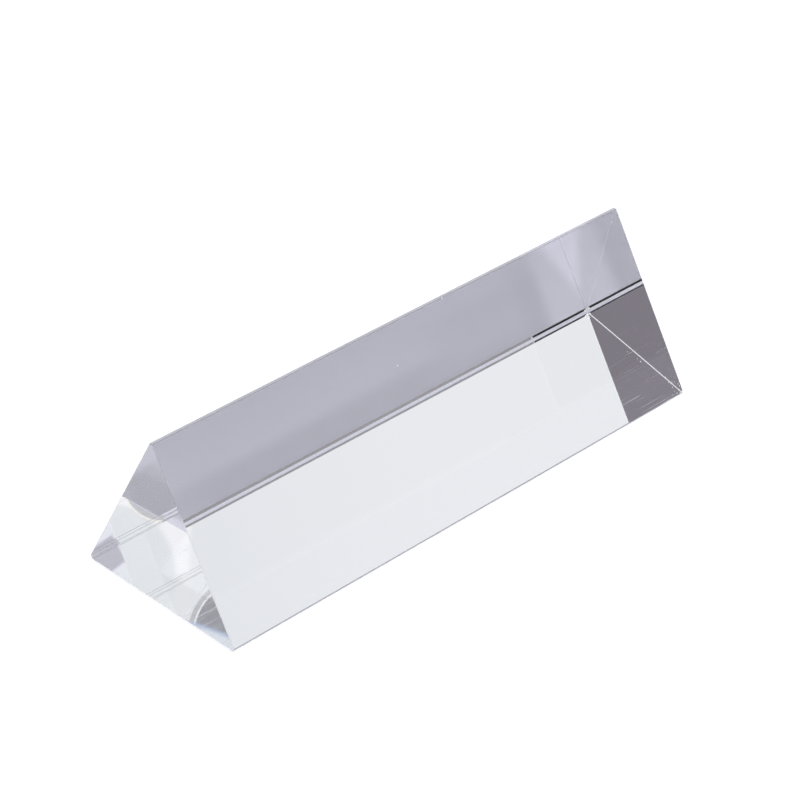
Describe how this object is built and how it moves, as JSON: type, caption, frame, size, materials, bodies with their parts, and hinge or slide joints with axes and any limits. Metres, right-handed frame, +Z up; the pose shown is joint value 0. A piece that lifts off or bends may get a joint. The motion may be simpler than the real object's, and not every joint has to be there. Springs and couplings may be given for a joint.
{
  "type": "equilateral optical prism",
  "caption": "Solid clear glass bar with a triangular section, polished all over, that bends light and splits it into colours.",
  "frame": {"origin": "middle of the long face that it lies on", "axes": "+X along the prism's length, +Y across the face that it lies on, +Z up through the top long edge"},
  "size_m": [0.15, 0.05, 0.0433],
  "materials": {
    "optical_glass": "polished on all faces, with narrow flats along every edge"
  },
  "bodies": {
    "root": {"glass_prism": "optical_glass"}
  },
  "joints": []
}
